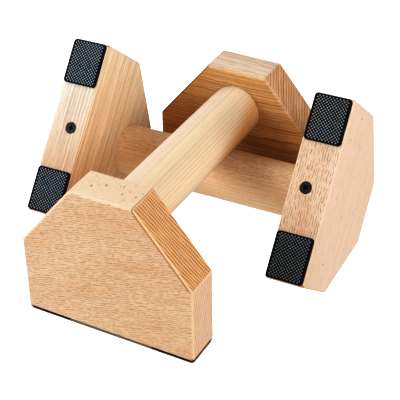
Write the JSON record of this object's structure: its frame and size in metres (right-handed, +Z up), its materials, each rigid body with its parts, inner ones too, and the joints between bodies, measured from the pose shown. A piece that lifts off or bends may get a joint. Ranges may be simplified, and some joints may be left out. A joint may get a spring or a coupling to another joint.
{
  "type": "parallel bars",
  "caption": "Pair of low wooden parallel bars (parallettes): round grip bars between six-sided end blocks on rubber pads, one stand upright over the other, which lies on its side.",
  "frame": {"origin": "on the floor, in the middle of the pair's overall box", "axes": "+Z up; +Y along the upright stand's grip bar, from its front block to its rear block; +X to the right, along the lying stand's bar to within 2 degrees"},
  "size_m": [0.2551, 0.25, 0.1585],
  "materials": {
    "block_wood": "sanded beech, clear matt finish",
    "bar_wood": "sanded beech, clear matt finish",
    "pad_rubber": "matt black with a raised crosshatch",
    "screw_metal": "black phosphate, satin"
  },
  "bodies": {
    "lying_stand": {"lying_left_block": "block_wood", "lying_right_block": "block_wood", "lying_grip_bar": "bar_wood", "lying_left_screw": "screw_metal", "lying_right_screw": "screw_metal", "lying_left_upper_pad": "pad_rubber", "lying_left_lower_pad": "pad_rubber", "lying_right_upper_pad": "pad_rubber", "lying_right_lower_pad": "pad_rubber"},
    "upright_stand": {"upright_front_block": "block_wood", "upright_rear_block": "block_wood", "upright_grip_bar": "bar_wood", "upright_front_screw": "screw_metal", "upright_rear_screw": "screw_metal", "upright_front_left_pad": "pad_rubber", "upright_front_right_pad": "pad_rubber", "upright_rear_left_pad": "pad_rubber", "upright_rear_right_pad": "pad_rubber"}
  },
  "joints": [
    {"name": "upright_lift", "type": "slide", "parent": "lying_stand", "child": "upright_stand", "axis": [0, 0, 1], "range_m": [0, 0.18]}
  ]
}
